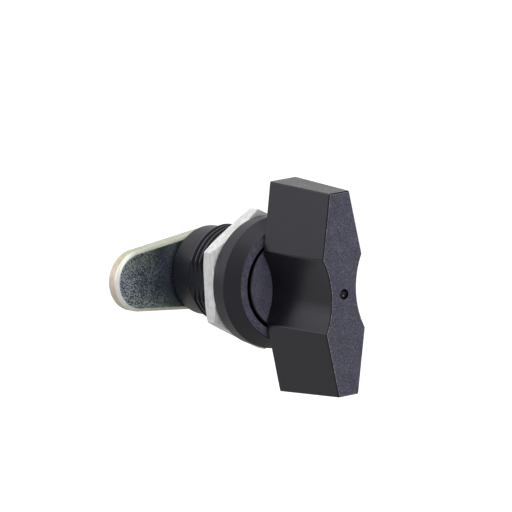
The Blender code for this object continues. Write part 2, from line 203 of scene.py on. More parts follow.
def combine(item, other, operation):
    """Cut, join or intersect the object with a helper, then throw the helper away."""
    boolean = item.modifiers.new(operation, "BOOLEAN")
    boolean.operation = operation
    boolean.object = other
    boolean.solver = "EXACT"
    bake_modifiers(item)
    bpy.data.objects.remove(other)


print("edges are sharp from", SHARP_DEGREES, "degrees")

# %% [markdown]
# A finished mesh takes three more steps. A rule picks each face's finish from its middle and
# its normal, whose part along an axis is 1 where the face looks straight along it. Slivers that
# the cuts left are dropped. Then the large flat faces set the shading, so that they stay flat
# beside their roundings, and faces with many corners become even triangles.

# %% Finishing helpers
SLIVER = 0.004 * MM


def choose_materials(item, rule):
    """Give each face the material that the rule picks from its middle and its normal."""
    for face in item.data.polygons:
        finish = rule(face.center, face.normal)
        face.material_index = item.data.materials.find(finish.name)


def drop_slivers(item):
    """Merge points that a cut left on top of each other, and drop faces without area."""
    bm = bmesh.new()
    bm.from_mesh(item.data)
    bmesh.ops.remove_doubles(bm, verts=bm.verts[:], dist=SLIVER)
    bmesh.ops.dissolve_degenerate(bm, edges=bm.edges[:], dist=SLIVER)
    bm.to_mesh(item.data)
    bm.free()


def settle_normals(item, sharp_degrees=SHARP_DEGREES):
    """Drop the slivers, let the large flat faces set the shading, and split many-sided faces."""
    drop_slivers(item)
    item.data.shade_smooth()
    item.data.set_sharp_from_angle(angle=math.radians(sharp_degrees))
    weighted = item.modifiers.new("flat_faces_first", "WEIGHTED_NORMAL")
    weighted.keep_sharp = True
    weighted.weight = 100
    split = item.modifiers.new("even_triangles", "TRIANGULATE")
    split.ngon_method = "BEAUTY"
    split.min_vertices = 5
    split.keep_custom_normals = True
    bake_modifiers(item)


print("slivers are thinner than", round(SLIVER / MM, 3), "mm")

# %% [markdown]
# Nearly every piece of a lock is turned, drawn or moulded, so two builders do most of the
# work: one turns a profile round the axis, and one joins two outlines as a mould does.

# %% Turned and moulded solids
AROUND = 192
SAME_POINT = 0.001 * MM


def turn_profile(profile, segments=AROUND, closed=True):
    """Turn (radius, y) points round the axis. An open profile gives an open shell."""
    bm = bmesh.new()
    rings = []
    for index in range(segments):
        angle = 2 * math.pi * index / segments
        sine, cosine = math.sin(angle), math.cos(angle)
        rings.append([bm.verts.new((r * sine, y, r * cosine)) for r, y in profile])
    last = len(profile) if closed else len(profile) - 1
    for ring, following in zip(rings, rings[1:] + rings[:1]):
        for k in range(last):
            m = (k + 1) % len(profile)
            if profile[k][0] > 0 or profile[m][0] > 0:
                bm.faces.new((ring[k], ring[m], following[m], following[k]))
    bmesh.ops.remove_doubles(bm, verts=bm.verts[:], dist=SAME_POINT)
    return bm


def round_corners(corners, steps=5):
    """Replace each (radius, y, rounding) corner by an arc."""
    points = []
    for index, (radius, y, rounding) in enumerate(corners):
        here = Vector((radius, y))
        if rounding == 0:
            points.append(here)
            continue
        before = (Vector(corners[index - 1][:2]) - here).normalized()
        after = (Vector(corners[(index + 1) % len(corners)][:2]) - here).normalized()
        half_angle = before.angle(after) / 2
        centre = here + (before + after).normalized() * (rounding / math.sin(half_angle))
        start = (here + before * (rounding / math.tan(half_angle)) - centre).normalized()
        end = (here + after * (rounding / math.tan(half_angle)) - centre).normalized()
        points += [centre + start.slerp(end, step / steps) * rounding for step in range(steps + 1)]
    return points


def loft_outlines(levels):
    """Join a stack of (outline, y) levels into one closed solid."""
    bm = bmesh.new()
    rings = [[bm.verts.new((x, y, z)) for x, z in outline] for outline, y in levels]
    bm.faces.new(rings[0])
    bm.faces.new(rings[-1])
    for lower, upper in zip(rings, rings[1:]):
        for k in range(len(lower)):
            m = (k + 1) % len(lower)
            bm.faces.new((lower[k], lower[m], upper[m], upper[k]))
    return bm


def arc_points(radius, start, end, steps, centre_x=0.0):
    """Points of an arc whose angles count from +Z towards +X."""
    angles = [start + (end - start) * step / steps for step in range(steps + 1)]
    return [(centre_x + radius * math.sin(a), radius * math.cos(a)) for a in angles]


def rectangle(half_x, half_z):
    """The corners of a rectangle on the axis."""
    return [(-half_x, -half_z), (half_x, -half_z), (half_x, half_z), (-half_x, half_z)]


print("points round the axis:", AROUND)

# %% [markdown]
# The knob and the housing are glass-filled polyamide, moulded black. Where the steel mould was
# polished, the walls come out smooth and satin. The colour itself is nearly black: most of what
# one sees on such a wall is the room's reflection, about four percent of it, so the walls show
# light where they face something bright and black where they face the lock's own dark parts.
# The reflection has a faint violet tint, a cool sheen. The housing's walls are duller than the
# knob's, the thread's valleys duller still, and its crests carry a painted highlight, a lighter
# grey.

# %% Polyamide from a polished mould wall
def moulded_polyamide(name, low, high, roughness, reflection=0.5):
    """Satin black plastic with a faint cloudiness and a barely visible flow texture."""
    look = {"Roughness": roughness, "IOR": 1.5, "Specular IOR Level": reflection}
    look["Specular Tint"] = linear_colour("F3F0FF")
    material, tree, shader = start_material(name, look)
    place = add_node(tree, "ShaderNodeTexCoord").outputs["Object"]
    clouds = add_noise(tree, place, size=4 * MM, detail=3.0)
    ramp = add_node(tree, "ShaderNodeValToRGB", {"Fac": clouds})
    fill_ramp(ramp, ((0.35, low), (0.65, high)))
    tree.links.new(ramp.outputs["Color"], shader.inputs["Base Color"])
    pores = add_noise(tree, place, size=0.25 * MM)
    add_bump(tree, shader, pores, strength=0.12, distance=0.02 * MM)
    return material


POLISHED_WALL = moulded_polyamide("polyamide_polished_wall", "08070C", "0D0C12", 0.25)
HOUSING_WALL = moulded_polyamide("polyamide_housing_wall", "08070C", "0D0C12", 0.4)
THREAD_VALLEY = moulded_polyamide("polyamide_thread_valley", "08080B", "0D0D11", 0.6, 0.25)
# The crests' lighter grey is a painted highlight along the thread.
CREST_HIGHLIGHT = moulded_polyamide("polyamide_crest_painted_highlight", "2A2A31", "3A3A43", 0.35)
print("made", POLISHED_WALL.name, HOUSING_WALL.name, THREAD_VALLEY.name, CREST_HIGHLIGHT.name)

# %% [markdown]
# The faces that look at the user were spark-eroded in the mould: millions of tiny craters
# give a fine, dull grain with a violet cast and light specks. The wings' ends are painted a
# lighter grey, a painted sheen for the light that falls on them, and the rounding beside the
# front face carries a painted highlight, a light line over the grain. The true craters are some
# 0.05 mm wide, too fine for this render, so the grain is drawn at 0.17 mm on the front, 0.2 mm
# along the front edge and 0.32 mm on the ends.

# %% Polyamide from a spark-eroded mould face
def spark_eroded_polyamide(name, grain_size, stops):
    """Dull, speckled black plastic with a crater grain, in the tones of the ramp's stops."""
    material, tree, shader = start_material(name, {"Roughness": 0.55, "IOR": 1.46})
    place = add_node(tree, "ShaderNodeTexCoord").outputs["Object"]
    grain = add_noise(tree, place, grain_size)
    patches = add_noise(tree, place, size=3 * MM)
    spread = {0: patches, 1: 0.15, 2: -0.075}
    spread = add_node(tree, "ShaderNodeMath", spread, operation="MULTIPLY_ADD")
    mixed = add_node(tree, "ShaderNodeMath", {0: grain, 1: spread}, operation="ADD")
    ramp = add_node(tree, "ShaderNodeValToRGB", {"Fac": mixed})
    fill_ramp(ramp, stops)
    tree.links.new(ramp.outputs["Color"], shader.inputs["Base Color"])
    add_bump(tree, shader, grain, strength=0.35, distance=0.05 * MM)
    return material


FACE_STOPS = ((0.32, "353541"), (0.46, "494958"), (0.59, "5B5A6D"), (0.74, "868594"))
# The ends' stops are lighter and greyer than the front's: a painted sheen for the light that falls
# on the ends.
END_SHEEN_STOPS = ((0.30, "464647"), (0.46, "5A5A5B"), (0.60, "6E6E6F"), (0.74, "949496"))
# The edge's stops are lighter still: a painted highlight in the rounding beside the front face.
EDGE_HIGHLIGHT_STOPS = ((0.36, "484852"), (0.47, "686873"), (0.57, "9A9AA4"), (0.68, "D2D2DA"))
GRAINED_FACE = spark_eroded_polyamide("polyamide_spark_eroded_face", 0.17 * MM, FACE_STOPS)
GRAINED_END_SHEEN = spark_eroded_polyamide("polyamide_spark_eroded_end_painted_sheen", 0.32 * MM, END_SHEEN_STOPS)
GRAINED_EDGE_HIGHLIGHT = spark_eroded_polyamide("polyamide_painted_edge_highlight", 0.2 * MM, EDGE_HIGHLIGHT_STOPS)
print("made", GRAINED_FACE.name, GRAINED_END_SHEEN.name, GRAINED_EDGE_HIGHLIGHT.name)

# %% [markdown]
# The wing knob is the piece that the hand knows. Two wings taper from a ridge to a narrow end,
# and a hollow is scooped out of each side between the ridges so that thumb and finger meet.
# A mould draws it out from the front, so every wall leans out by about three degrees towards
# the back. One outline function serves front and back, and the loft between them is the draft.

# %% Outline of the wings
KNOB_HEIGHT = 44.6 * MM
WING_END_WIDTH = 5.5 * MM
RIDGE_WIDTH = 10.9 * MM
RIDGE_SPACING = 16.1 * MM
WAIST_WIDTH = 7.0 * MM
WING_DRAFT = 1.0 * MM
SCOOP_DRAFT = 0.35 * MM


def wing_outline(draft, scoop_draft, scoop_steps=48):
    """Half the outline is built, end to end, and the other half is its mirror image."""
    top = KNOB_HEIGHT / 2 + draft
    end = WING_END_WIDTH / 2 + draft
    ridge = RIDGE_SPACING / 2
    waist_half = WAIST_WIDTH / 2 + scoop_draft
    sag = RIDGE_WIDTH / 2 + draft - waist_half
    radius = (ridge ** 2 + sag ** 2) / (2 * sag)
    half_angle = math.asin(ridge / radius)
    right = [(end, top)]
    for step in range(scoop_steps + 1):
        angle = half_angle - 2 * half_angle * step / scoop_steps
        right.append((waist_half + radius - radius * math.cos(angle), radius * math.sin(angle)))
    right.append((end, -top))
    return right + [(-x, -z) for x, z in right]


def wing_half_width(z, draft):
    """Half the wing's width at a height above its ridge."""
    ridge = RIDGE_SPACING / 2
    share = (z - ridge) / (KNOB_HEIGHT / 2 - ridge)
    return RIDGE_WIDTH / 2 + (WING_END_WIDTH - RIDGE_WIDTH) / 2 * share + draft


print("points in the wings' outline:", len(wing_outline(0.0, 0.0)))

# %% [markdown]
# A wing this thick would sink as it cools, so the mould cores it from below: two pockets in
# each wing, with a rib between them. Seen from behind, they are what shows that this is a
# moulding. The pockets narrow towards the front, as cores do.

# %% Pockets under the wings
WING_CLEARANCE = 1.1 * MM
WING_UNDERSIDE = FLANGE_HEIGHT + WING_CLEARANCE
KNOB_DEPTH = KNOB_FRONT - WING_UNDERSIDE
DISC_RADIUS = 9.8 * MM
WALL = 1.7 * MM
FRONT_WALL = 2.6 * MM
RIB = 1.4 * MM
CORE_ROUNDING = 0.4 * MM


def pocket_levels(sign, start, end):
    """The outlines of one pocket, at its mouth and at its floor."""
    depth = KNOB_DEPTH - FRONT_WALL
    mouth = (WING_DRAFT, -WING_UNDERSIDE + FIT)
    floor = (WING_DRAFT * FRONT_WALL / KNOB_DEPTH, -WING_UNDERSIDE - depth)
    levels = []
    for draft, y in (mouth, floor):
        wide = wing_half_width(start, draft) - WALL
        narrow = wing_half_width(end, draft) - WALL
        corners = [(-wide, start), (wide, start), (narrow, end), (-narrow, end)]
        levels.append(([(x, sign * z) for x, z in corners], y))
    return levels


def cut_pockets(knob):
    """Core both wings, two pockets each."""
    low = DISC_RADIUS + FIT
    high = KNOB_HEIGHT / 2 - WALL
    middle = (low + high) / 2
    for start, end in ((low, middle - RIB / 2), (middle + RIB / 2, high)):
        for sign in (-1, 1):
            core = add_object("core", loft_outlines(pocket_levels(sign, start, end)))
            add_bevel(core, CORE_ROUNDING, 3, 50)
            combine(knob, core, "DIFFERENCE")


print("the pockets are", round((KNOB_DEPTH - FRONT_WALL) / MM, 1), "mm deep")

# %% [markdown]
# The wings stand on a round disc that lies in the flange's recess. The wing's underside clears
# the flange by about a millimetre, so a ring is cut away round the disc. A slot takes the
# spindle's blade, and the mould's gate left a round dimple in the middle of the front face.

# %% The wing knob
KNOB_ROUNDING = 0.45 * MM
HUB_STEP = 0.5 * MM
DISC_THICKNESS = 2.4 * MM
DISC_FRONT = DISC_BACK + DISC_THICKNESS
DISC_ROUNDING = 0.2 * MM
DIMPLE_RADIUS = 1.15 * MM
BLADE_THICKNESS = 3.4 * MM
BLADE_WIDTH = 9.6 * MM
BLADE_LENGTH = 13.0 * MM


def make_wing_knob():
    """Loft the wings, round their edges, then cut and join what the mould gave them."""
    foot = -(DISC_FRONT + DISC_BACK) / 2
    levels = [(wing_outline(WING_DRAFT, SCOOP_DRAFT), foot), (wing_outline(0.0, 0.0), -KNOB_FRONT)]
    finishes = (POLISHED_WALL, GRAINED_FACE, GRAINED_EDGE_HIGHLIGHT, GRAINED_END_SHEEN)
    knob = add_object("wing_knob_moulding", loft_outlines(levels), *finishes)
    add_bevel(knob, KNOB_ROUNDING, 5, 20)
    hub = DISC_RADIUS - HUB_STEP
    reach = KNOB_HEIGHT
    below = [(hub, -WING_UNDERSIDE), (reach, -WING_UNDERSIDE), (reach, 0), (hub, 0)]
    combine(knob, add_object("below", turn_profile(below)), "DIFFERENCE")
    disc = [(0, -DISC_FRONT, 0), (DISC_RADIUS, -DISC_FRONT, DISC_ROUNDING)]
    disc += [(DISC_RADIUS, -DISC_BACK, DISC_ROUNDING), (0, -DISC_BACK, 0)]
    combine(knob, add_object("disc", turn_profile(round_corners(disc))), "UNION")
    cut_pockets(knob)
    slot = rectangle(BLADE_THICKNESS / 2 + FIT, BLADE_WIDTH / 2 + FIT)
    slot_levels = [(slot, -DISC_BACK + FIT), (slot, -DISC_BACK - BLADE_LENGTH - 2 * FIT)]
    combine(knob, add_object("slot", loft_outlines(slot_levels)), "DIFFERENCE")
    dimple = bmesh.new()
    bmesh.ops.create_uvsphere(dimple, u_segments=48, v_segments=32, radius=DIMPLE_RADIUS)
    bmesh.ops.translate(dimple, verts=dimple.verts[:], vec=(0, -KNOB_FRONT, 0))
    combine(knob, add_object("dimple", dimple), "DIFFERENCE")
    return knob


def knob_finish(centre, normal):
    """Grain on the faces that look forward or out of the ends, a painted highlight beside the
    front.
    """
    from_axis = centre.xz.length
    # The ends keep the crater grain, painted lighter as a painted sheen.
    if abs(normal.z) > 0.9 and from_axis > RIDGE_SPACING:
        return GRAINED_END_SHEEN
    if normal.y < -0.99:
        return GRAINED_FACE
    at_front_edge = centre.y < KNOB_ROUNDING - KNOB_FRONT and from_axis > 2 * DIMPLE_RADIUS
    return GRAINED_EDGE_HIGHLIGHT if normal.y < -0.93 and at_front_edge else POLISHED_WALL


wing_knob = make_wing_knob()
choose_materials(wing_knob, knob_finish)
settle_normals(wing_knob)
print("wing knob faces:", len(wing_knob.data.polygons))

# %% [markdown]
# The barrel's thread follows a rule: its radius depends only on how far a point lies along
# the helix. Geometry Nodes say that rule directly. A flat grid is wrapped round the axis, each
# row climbs one pitch per turn, and the profile lifts the crest. The grid's rows follow the
# helix, so the crests come out as clean lines. Two flats on the real barrel keep the lock from
# turning in its panel, and here they are a limit on X. The rule is a table: each row names a
# value, a sum, and the inputs or earlier values that the sum takes.

# %% The rule of the thread
THREAD_RULE = (
    # The grid has one column and one row more than it has steps.
    ("columns", "ADD", "Around", 1.0),
    ("rows", "MULTIPLY_ADD", "Turns", "Rows per turn", 1.0),
    # How far round and how far up each point lies, in turns, and its place along the axis.
    ("turn", "ADD", "flat x", 0.5),
    ("share of height", "ADD", "flat y", 0.5),
    ("climbed", "MULTIPLY", "share of height", "Turns"),
    ("helix", "ADD", "climbed", "turn"),
    ("free y", "MULTIPLY_ADD", "helix", "Pitch", "First row"),
    ("y past start", "MAXIMUM", "free y", "Start"),
    ("y", "MINIMUM", "y past start", "End"),
    # The profile: 1 on the crest, 0 at the foot, and a straight flank between.
    ("share of pitch", "FRACT", "climbed"),
    ("swing", "MULTIPLY_ADD", "share of pitch", 2.0, -1.0),
    ("from crest", "ABSOLUTE", "swing"),
    ("down flank", "SUBTRACT", "from crest", "Crest share"),
    ("flank", "SUBTRACT", "Foot share", "Crest share"),
    ("sunk", "DIVIDE", "down flank", "flank"),
    ("free lift", "SUBTRACT", 1.0, "sunk"),
    ("lift below one", "MINIMUM", "free lift", 1.0),
    ("lift", "MAXIMUM", "lift below one", 0.0),
    # The crest fades out towards its first and its last turn.
    ("whole turns", "FLOOR", "climbed"),
    ("along", "ADD", "whole turns", "turn"),
    ("after first", "SUBTRACT", "along", "First turn"),
    ("before last", "SUBTRACT", "Last turn", "along"),
    ("to nearest end", "MINIMUM", "after first", "before last"),
    ("free fade", "DIVIDE", "to nearest end", "Run-out"),
    ("fade below one", "MINIMUM", "free fade", 1.0),
    ("fade", "MAXIMUM", "fade below one", 0.0),
    ("raised", "MULTIPLY", "lift", "fade"),
    ("radius", "MULTIPLY_ADD", "raised", "Depth", "Root radius"),
    # Round the axis, with X held between the two flats.
    ("angle", "MULTIPLY", "turn", 2 * math.pi),
    ("sine", "SINE", "angle"),
    ("round x", "MULTIPLY", "radius", "sine"),
    ("cosine", "COSINE", "angle"),
    ("z", "MULTIPLY", "radius", "cosine"),
    ("low flat", "MULTIPLY", "Half across flats", -1.0),
    ("x past low flat", "MAXIMUM", "round x", "low flat"),
    ("x", "MINIMUM", "x past low flat", "Half across flats"),
)
print("the thread's rule has", len(THREAD_RULE), "steps")


# %% Node tree of the thread
def build_thread_tree():
    """A grid wrapped into a threaded tube whose crests stop at two flats."""
    tree = bpy.data.node_groups.new("barrel_thread", "GeometryNodeTree")
    face = tree.interface
    face.new_socket("Geometry", in_out="INPUT", socket_type="NodeSocketGeometry")
    lengths = ("Root radius", "Depth", "Pitch", "Start", "End", "First row", "Half across flats")
    shares = ("Crest share", "Foot share", "First turn", "Last turn", "Run-out")
    for name in lengths + shares:
        face.new_socket(name, in_out="INPUT", socket_type="NodeSocketFloat")
    for name in ("Turns", "Around", "Rows per turn"):
        face.new_socket(name, in_out="INPUT", socket_type="NodeSocketInt")
    face.new_socket("Material", in_out="INPUT", socket_type="NodeSocketMaterial")
    face.new_socket("Geometry", in_out="OUTPUT", socket_type="NodeSocketGeometry")
    known = dict(add_node(tree, "NodeGroupInput").outputs.items())
    position = add_node(tree, "GeometryNodeInputPosition")
    flat = add_node(tree, "ShaderNodeSeparateXYZ", {0: position}).outputs
    known.update({"flat x": flat["X"], "flat y": flat["Y"]})
    for name, operation, *values in THREAD_RULE:
        inputs = dict(enumerate(known.get(value, value) for value in values))
        known[name] = add_node(tree, "ShaderNodeMath", inputs, operation=operation)
    sheet = {"Size X": 1.0, "Size Y": 1.0}
    sheet.update({"Vertices X": known["columns"], "Vertices Y": known["rows"]})
    grid = add_node(tree, "GeometryNodeMeshGrid", sheet)
    point = {"X": known["x"], "Y": known["y"], "Z": known["z"]}
    point = add_node(tree, "ShaderNodeCombineXYZ", point)
    wrapped = add_node(tree, "GeometryNodeSetPosition", {"Geometry": grid, "Position": point})
    sewn = {"Geometry": wrapped, "Distance": SAME_POINT}
    sewn = add_node(tree, "GeometryNodeMergeByDistance", sewn)
    real = add_node(tree, "GeometryNodeRealizeInstances", {"Geometry": sewn})
    dressed = {"Geometry": real, "Material": known["Material"]}
    dressed = add_node(tree, "GeometryNodeSetMaterial", dressed)
    add_node(tree, "NodeGroupOutput", {"Geometry": dressed})
    return tree


THREAD_TREE = build_thread_tree()
print("the thread's tree has", len(THREAD_TREE.nodes), "nodes")

# %% [markdown]
# The modifier's inputs are set by each socket's identifier before the object is evaluated. The
# crest is counted back from where the thread ends, and both its ends sink into the root circle
# over a sixth of a turn, as a screw thread runs out. The rows past them are pulled back to the
# root circle, where the turned part of the housing takes over.

# %% Threaded tube of the barrel
THREAD_RADIUS = 11.0 * MM
THREAD_PITCH = 1.5 * MM
THREAD_DEPTH = 0.85 * MM
THREAD_FOOT = 1.4 * MM
THREAD_CREST = 0.3 * MM
LAST_CREST = 13.4 * MM
THREAD_START = 0.9 * MM
THREAD_END = 14.0 * MM
THREAD_END_ANGLE = math.radians(60)
THREAD_RUN_OUT = math.radians(60)
HALF_ACROSS_FLATS = 10.05 * MM
ROOT_RADIUS = THREAD_RADIUS - THREAD_DEPTH
ROWS_PER_TURN = 14


def thread_tube():
    """Run the tree and return the tube as a plain mesh object."""
    holder = bpy.data.objects.new("thread_tube", bpy.data.meshes.new("thread_tube"))
    bpy.context.scene.collection.objects.link(holder)
    full_turns = math.ceil((THREAD_END - THREAD_START) / THREAD_PITCH)
    last_turn = full_turns + THREAD_END_ANGLE / (2 * math.pi)
    values = {
        "Root radius": ROOT_RADIUS,
        "Depth": THREAD_DEPTH,
        "Pitch": THREAD_PITCH,
        "Start": THREAD_START,
        "End": THREAD_END,
        "First row": LAST_CREST - THREAD_PITCH * (last_turn + 0.5),
        "Half across flats": HALF_ACROSS_FLATS,
        "Crest share": THREAD_CREST / THREAD_PITCH,
        "Foot share": THREAD_FOOT / THREAD_PITCH,
        "First turn": last_turn - (LAST_CREST - THREAD_FOOT / 2 - THREAD_START) / THREAD_PITCH,
        "Last turn": last_turn,
        "Run-out": THREAD_RUN_OUT / (2 * math.pi),
        "Turns": full_turns + 2,
        "Around": AROUND,
        "Rows per turn": ROWS_PER_TURN,
        "Material": HOUSING_WALL,
    }
    modifier = holder.modifiers.new("thread", "NODES")
    modifier.node_group = THREAD_TREE
    for socket in THREAD_TREE.interface.items_tree:
        if socket.in_out == "INPUT" and socket.name in values:
            modifier[socket.identifier] = values[socket.name]
    return bake_modifiers(holder)


tube = thread_tube()
print("faces of the threaded tube:", len(tube.data.polygons))

# %% [markdown]
# The rest of the housing is turned: a flat annulus round the knob's disc, a wide cone, a short
# band, the back face, and behind the thread a smooth end. Both parts have the same number of
# points round the axis, so their rims meet and weld into one closed skin.

# %% Turned parts of the housing
FLANGE_REAR_RADIUS = 14.3 * MM
BAND_HEIGHT = 4.1 * MM
FACE_RING_RADIUS = 12.4 * MM
FLANGE_ROUNDING = 0.4 * MM
SMALL_ROUNDING = 0.15 * MM
DISC_GAP = 0.6 * MM
BARREL_END_RADIUS = 9.9 * MM
BARREL_CHAMFER = 0.5 * MM
BORE_RADIUS = 6.2 * MM


def turned_housing():
    """The turned shell, open where the threaded tube goes."""
    recess_radius = DISC_RADIUS + DISC_GAP
    floor = DISC_BACK - FIT
    step = ROOT_RADIUS - BARREL_END_RADIUS
    corners = [
        (ROOT_RADIUS, THREAD_END, 0),
        (BARREL_END_RADIUS, THREAD_END + step, 0),
        (BARREL_END_RADIUS, BARREL_LENGTH - BARREL_CHAMFER, SMALL_ROUNDING),
        (BARREL_END_RADIUS - BARREL_CHAMFER, BARREL_LENGTH, SMALL_ROUNDING),
        (BORE_RADIUS, BARREL_LENGTH, SMALL_ROUNDING),
        (BORE_RADIUS, -floor, 0),
        (recess_radius, -floor, SMALL_ROUNDING),
        (recess_radius, -FLANGE_HEIGHT, SMALL_ROUNDING),
        (FACE_RING_RADIUS, -FLANGE_HEIGHT, FLANGE_ROUNDING),
        (FLANGE_RADIUS, -BAND_HEIGHT, FLANGE_ROUNDING),
        (FLANGE_REAR_RADIUS, 0, FLANGE_ROUNDING),
        (ROOT_RADIUS, 0, 0),
        (ROOT_RADIUS, THREAD_START, 0),
    ]
    return turn_profile(round_corners(corners), closed=False)


shell = turned_housing()
print("faces of the turned shell:", len(shell.faces))

# %% [markdown]
# A pocket in the barrel's end holds a lug of the spindle. It is a sector round the bore, as wide
# as the lug and a quarter turn more, so its two ends are what stops the knob.

# %% The stop pocket
STOP_RADIUS = 8.1 * MM
STOP_DEPTH = 4.0 * MM
STOP_LUG_ANGLE = math.radians(40)
STOP_MIDDLE = math.radians(-45)
QUARTER_TURN = math.radians(90)
POCKET_STEPS = 48


def stop_pocket():
    """The hollow in the barrel's end where the spindle's lug turns a quarter and stops."""
    play = FIT / STOP_RADIUS
    start = STOP_MIDDLE - STOP_LUG_ANGLE / 2 - play
    end = STOP_MIDDLE + QUARTER_TURN + STOP_LUG_ANGLE / 2 + play
    outline = arc_points(STOP_RADIUS + FIT, start, end, POCKET_STEPS)
    outline += arc_points(BORE_RADIUS - FIT, end, start, POCKET_STEPS)
    levels = [(outline, BARREL_LENGTH - STOP_DEPTH), (outline, BARREL_LENGTH + FIT)]
    return add_object("stop_pocket", loft_outlines(levels))


print("the lug turns", round(math.degrees(QUARTER_TURN)), "degrees")

# %% [markdown]
# The turned shell and the threaded tube are welded where their rims meet, after the shell's
# rims are pulled in to the two flats, as the tube is. The annulus that looks at the user is
# grained, the thread's valleys are dull, its crests carry a painted highlight, and the rest is
# plain wall.

# %% The housing
THREAD_SHARP_DEGREES = 30
FACE_BAND = 0.1 * MM
CREST_BAND = 0.12 * MM


def make_housing(bm, tube):
    """Weld the turned shell and the threaded tube together, and cut the stop pocket."""
    for vert in bm.verts:
        if vert.co.y > SAME_POINT and vert.co.xz.length > ROOT_RADIUS - SAME_POINT:
            vert.co.x = max(-HALF_ACROSS_FLATS, min(HALF_ACROSS_FLATS, vert.co.x))
    bm.from_mesh(tube.data)
    bpy.data.objects.remove(tube)
    bmesh.ops.remove_doubles(bm, verts=bm.verts[:], dist=2 * SAME_POINT)
    open_edges = sum(1 for edge in bm.edges if len(edge.link_faces) != 2)
    print("housing edges that aren't shared by two faces:", open_edges)
    finishes = (HOUSING_WALL, GRAINED_FACE, THREAD_VALLEY, CREST_HIGHLIGHT)
    item = add_object("housing_moulding", bm, *finishes)
    combine(item, stop_pocket(), "DIFFERENCE")
    return item


def housing_finish(centre, normal):
    """Grain on the flange's front annulus, dull thread valleys and crests with a painted highlight.
    """
    from_axis = centre.xz.length
    if normal.y < -0.97 and centre.y < -FLANGE_HEIGHT + FACE_BAND:
        return GRAINED_FACE
    threaded = THREAD_START < centre.y < THREAD_END and abs(normal.x) < 0.999
    if not threaded or from_axis < ROOT_RADIUS - FIT:
        return HOUSING_WALL
    return CREST_HIGHLIGHT if from_axis > THREAD_RADIUS - CREST_BAND else THREAD_VALLEY


housing = make_housing(shell, tube)
choose_materials(housing, housing_finish)
settle_normals(housing, THREAD_SHARP_DEGREES)
print("housing faces:", len(housing.data.polygons))

# %% [markdown]
# The nut is cut from steel bar and has a thick, dull zinc coat. Zinc scatters light more than
# bare steel, so it reads as a pale grey, with faint upright streaks and cloudy patches in the
# coat. Its crystals are finer than a pixel, so they are drawn at 0.2 mm, about one pixel, where
# they only roughen the shine.

# %% Zinc of the nut
def dull_zinc(name, low, high, roughness, metallic, streak_length):
    """Pale plated zinc: cloudy tone, faint streaks and a fine crystalline bump."""
    material, tree, shader = start_material(name, {"Metallic": metallic})
    place = add_node(tree, "ShaderNodeTexCoord").outputs["Object"]
    streak_width = 0.5 * MM
    stretch = (1 / streak_width, 1 / streak_width, 1 / streak_length)
    streaked = add_node(tree, "ShaderNodeMapping", {"Vector": place, "Scale": stretch})
    streaks = add_noise(tree, streaked, size=1.0, detail=4.0)
    clouds = add_noise(tree, place, size=1.6 * MM, detail=4.0)
    both = add_node(tree, "ShaderNodeMath", {0: streaks, 1: clouds}, operation="ADD")
    half = add_node(tree, "ShaderNodeMath", {0: both, 1: 0.5}, operation="MULTIPLY")
    ramp = add_node(tree, "ShaderNodeValToRGB", {"Fac": half})
    fill_ramp(ramp, ((0.38, low), (0.62, high)))
    tree.links.new(ramp.outputs["Color"], shader.inputs["Base Color"])
    dull = {"Value": clouds, "To Min": roughness - 0.08, "To Max": roughness + 0.08}
    dull = add_node(tree, "ShaderNodeMapRange", dull)
    tree.links.new(dull.outputs[0], shader.inputs["Roughness"])
    crystals = add_noise(tree, place, size=0.2 * MM)
    add_bump(tree, shader, crystals, strength=0.2, distance=0.02 * MM)
    return material


NUT_ZINC = dull_zinc("nut_dull_zinc", "D2D2D1", "F0F0F1", 0.5, 0.25, 6 * MM)
print("made", NUT_ZINC.name)

# %% [markdown]
# A hexagon nut is a slice of hexagon bar whose corners were turned down on a lathe. So it is
# made the same way: a hexagon, intersected with a turned blank that has a chamfer on each face.
# The bar's edges are rounded first, while the mesh is still simple enough for a clean bevel.

# %% Hexagon with turned corners
HEXAGON_ROUNDING = 0.2 * MM
HEXAGON_CHAMFER = math.radians(22)
NUT_ACROSS_FLATS = 27 * MM
NUT_FACE_RADIUS = 13.8 * MM
NUT_SINK = 0.5 * MM


def make_hexagon(name, low, high, across_flats, face_radius, material, front_chamfer=True):
    """A hexagon from y = low to y = high, corner up, with its corners chamfered."""
    corner = across_flats / 2 / math.cos(math.pi / 6)
    outline = arc_points(corner, 0, 2 * math.pi, 6)[:-1]
    hexagon = add_object(name, loft_outlines([(outline, low), (outline, high)]), material)
    add_bevel(hexagon, HEXAGON_ROUNDING, 3, 25)
    drop = (corner + FIT - face_radius) * math.tan(HEXAGON_CHAMFER)
    blank = [(0, high), (face_radius, high), (corner + FIT, high - drop)]
    if front_chamfer:
        blank += [(corner + FIT, low + drop), (face_radius, low), (0, low)]
    else:
        blank += [(corner + FIT, low - FIT), (0, low - FIT)]
    combine(hexagon, add_object("blank", turn_profile(blank)), "INTERSECT")
    return hexagon


def make_nut():
    """The flat nut behind the flange, bored with a countersink at each end."""
    low, high = NUT_LOW.y, NUT_HIGH.y
    sizes = (NUT_ACROSS_FLATS, NUT_FACE_RADIUS)
    nut = make_hexagon("hex_nut_zinc_plated", low, high, *sizes, NUT_ZINC)
    bore = THREAD_RADIUS + FIT
    mouth = bore + NUT_SINK + FIT
    profile = [(0, low - FIT), (mouth, low - FIT), (bore, low + NUT_SINK)]
    profile += [(bore, high - NUT_SINK), (mouth, high + FIT), (0, high + FIT)]
    combine(nut, add_object("bore", turn_profile(profile)), "DIFFERENCE")
    settle_normals(nut)
    return nut


nut = make_nut()
print("nut faces:", len(nut.data.polygons))
